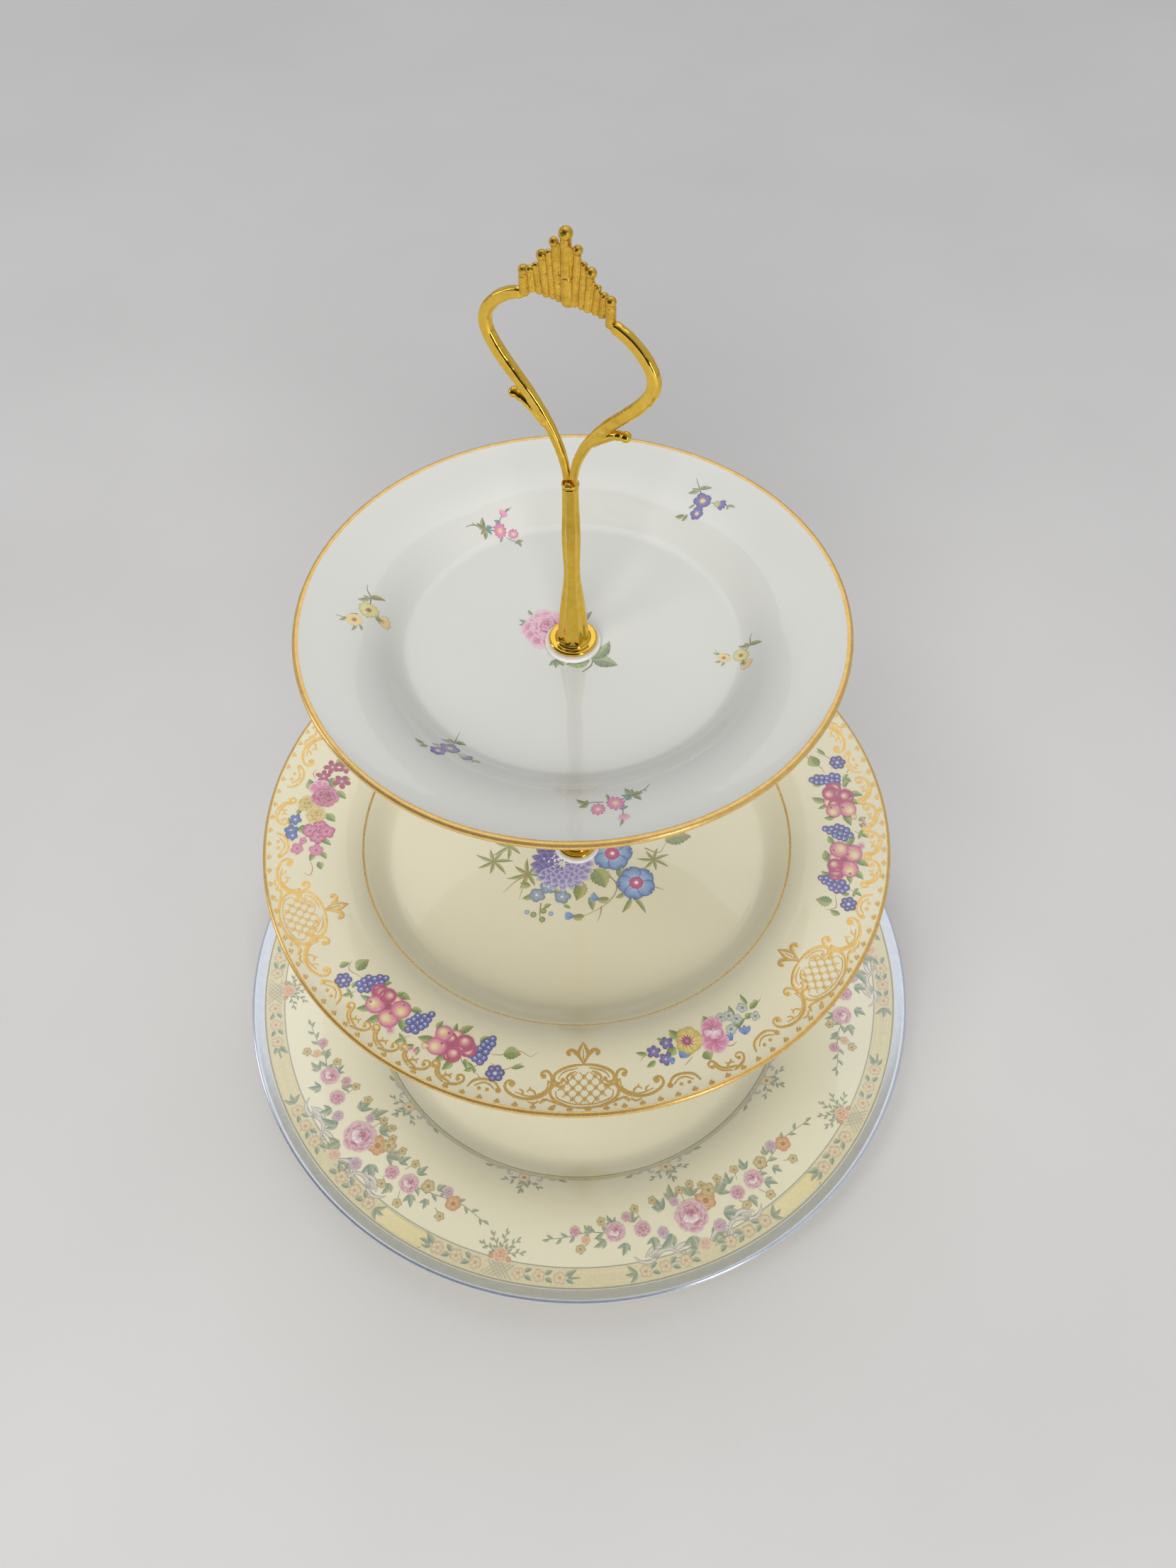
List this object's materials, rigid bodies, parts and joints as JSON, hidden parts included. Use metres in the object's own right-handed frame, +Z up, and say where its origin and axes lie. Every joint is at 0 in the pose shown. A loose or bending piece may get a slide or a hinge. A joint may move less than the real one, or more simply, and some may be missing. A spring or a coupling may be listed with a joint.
{
  "type": "tiered cake stand",
  "caption": "Tiered cake stand: round china plates, each smaller than the one below, clamped between threaded gold-plated posts, with a looped carrying handle under a fan-shaped crown.",
  "frame": {"origin": "centre of the bottom plate's foot ring, on the table", "axes": "+Z up along the posts; the handle's loop lies in the XZ plane"},
  "size_m": [0.2666, 0.2666, 0.3522],
  "materials": {
    "white_china": "gloss",
    "ivory_china": "gloss",
    "cream_china": "gloss",
    "gold_plated_metal": "polished",
    "gold_plated_casting": "satin",
    "white_gasket": "matte",
    "stud_steel": "satin",
    "gilding": "polished",
    "platinum_band": "polished",
    "printed_flowers": "gloss"
  },
  "bodies": {
    "bottom_plate": {"bottom_plate": "cream_china"},
    "column": {"base_screw": "gold_plated_metal", "base_washer": "gold_plated_metal", "base_gasket": "white_gasket", "lower_gasket": "white_gasket", "lower_post": "gold_plated_metal", "middle_stud": "stud_steel", "middle_washer": "gold_plated_metal", "middle_gasket_below": "white_gasket"},
    "middle_plate": {"middle_plate": "ivory_china"},
    "middle_seal": {"middle_gasket_above": "white_gasket"},
    "upper_column": {"middle_post": "gold_plated_metal", "top_stud": "stud_steel", "top_washer": "gold_plated_metal", "top_gasket_below": "white_gasket"},
    "top_plate": {"top_plate": "white_china"},
    "top_seal": {"top_gasket_above": "white_gasket"},
    "handle": {"upper_post": "gold_plated_metal", "handle_collar": "gold_plated_metal", "handle_arm_left": "gold_plated_metal", "handle_arm_right": "gold_plated_metal", "crown": "gold_plated_casting"}
  },
  "joints": [
    {"name": "column_swivel", "type": "hinge", "parent": "bottom_plate", "child": "column", "pos_m": [0, 0, 0.009], "axis": [0, 0, 1], "continuous": true},
    {"name": "middle_plate_swivel", "type": "hinge", "parent": "column", "child": "middle_plate", "pos_m": [0, 0, 0.115], "axis": [0, 0, 1], "continuous": true},
    {"name": "middle_post_lift", "type": "slide", "parent": "column", "child": "middle_seal", "axis": [0, 0, 1], "range_m": [0, 0.008]},
    {"name": "middle_post_unscrew", "type": "hinge", "parent": "middle_seal", "child": "upper_column", "pos_m": [0, 0, 0.1163], "axis": [0, 0, 1], "range_deg": [0, 3600]},
    {"name": "top_plate_swivel", "type": "hinge", "parent": "upper_column", "child": "top_plate", "pos_m": [0, 0, 0.221], "axis": [0, 0, 1], "continuous": true},
    {"name": "handle_lift", "type": "slide", "parent": "upper_column", "child": "top_seal", "axis": [0, 0, 1], "range_m": [0, 0.008]},
    {"name": "handle_unscrew", "type": "hinge", "parent": "top_seal", "child": "handle", "pos_m": [0, 0, 0.2223], "axis": [0, 0, 1], "range_deg": [0, 3600]}
  ],
  "couplings": [
    {"joint": "middle_post_unscrew", "follows": "middle_post_lift", "rad_per_m": 7854},
    {"joint": "handle_unscrew", "follows": "handle_lift", "rad_per_m": 7854}
  ]
}
